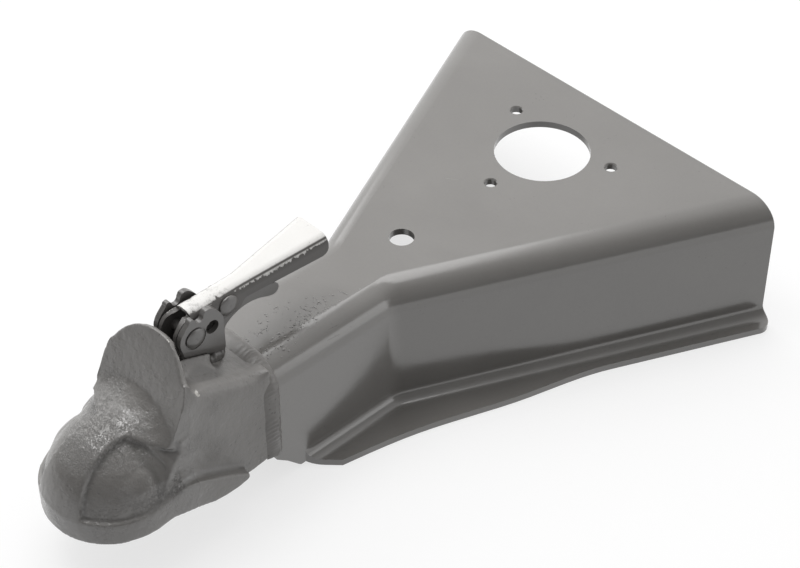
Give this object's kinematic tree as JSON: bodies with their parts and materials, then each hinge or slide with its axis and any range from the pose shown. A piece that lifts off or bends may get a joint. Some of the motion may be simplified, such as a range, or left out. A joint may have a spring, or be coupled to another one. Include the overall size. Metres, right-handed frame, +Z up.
{
  "type": "trailer coupling head",
  "caption": "Trailer coupling head: folded A-frame bracket welded to a cast ball socket, with a hand lever and finger trigger that draw a wedge against a ball clamp.",
  "frame": {"origin": "centre of the tow ball when it is seated in the socket", "axes": "+Y back towards the trailer along the bracket's middle plane, +X to the right side, +Z up; the top plate is level"},
  "size_m": [0.313, 0.4786, 0.1514],
  "materials": {
    "bracket_paint": "semi-gloss grey paint on pressed sheet",
    "casting_paint": "grey paint on a rough sand casting",
    "weld_paint": "painted weld bead",
    "latch_paint": "dark grey paint",
    "lever_top": "bright smooth top with grey paint on its sides",
    "plain_steel": "bare oiled steel",
    "iron": "bare cast iron"
  },
  "bodies": {
    "frame": {"a_frame_bracket": "bracket_paint", "cast_head": "casting_paint", "neck_weld": "weld_paint", "latch_yoke": "latch_paint", "yoke_weld_right": "weld_paint", "yoke_weld_left": "weld_paint", "pivot_pin": "latch_paint", "clamp_pin": "plain_steel", "pin_keeper_right": "plain_steel", "pin_keeper_left": "plain_steel"},
    "lever": {"lever_handle": "lever_top", "draw_pin": "plain_steel", "trigger_rivet": "latch_paint"},
    "finger_trigger": {"trigger": "latch_paint", "trigger_spring": "plain_steel"},
    "draw_gear": {"draw_eye": "plain_steel", "jam_nut": "plain_steel", "spring_washer": "plain_steel", "wedge_spring": "plain_steel", "wedge": "iron"},
    "clamp": {"ball_clamp": "iron"}
  },
  "joints": [
    {"name": "lever_swing", "type": "hinge", "parent": "frame", "child": "lever", "pos_m": [0, 0.0583, 0.0836], "axis": [1, 0, 0], "range_deg": [0, 75]},
    {"name": "trigger_pull", "type": "hinge", "parent": "lever", "child": "finger_trigger", "pos_m": [0, 0.0871, 0.0888], "axis": [1, 0, 0], "range_deg": [0, 12], "stiffness_Nm_per_rad": 0.05, "springref_deg": -28.65},
    {"name": "wedge_slide", "type": "slide", "parent": "frame", "child": "draw_gear", "axis": [0, 0, 1], "range_m": [0, 0.013], "deforming": ["wedge_spring"]},
    {"name": "clamp_swing", "type": "hinge", "parent": "frame", "child": "clamp", "pos_m": [0, 0.04, 0.024], "axis": [1, 0, 0], "range_deg": [0, 6.2]}
  ],
  "couplings": [
    {"joint": "wedge_slide", "follows": "lever_swing", "m_per_rad": 0.0097578},
    {"joint": "clamp_swing", "follows": "lever_swing", "ratio": 0.08}
  ]
}
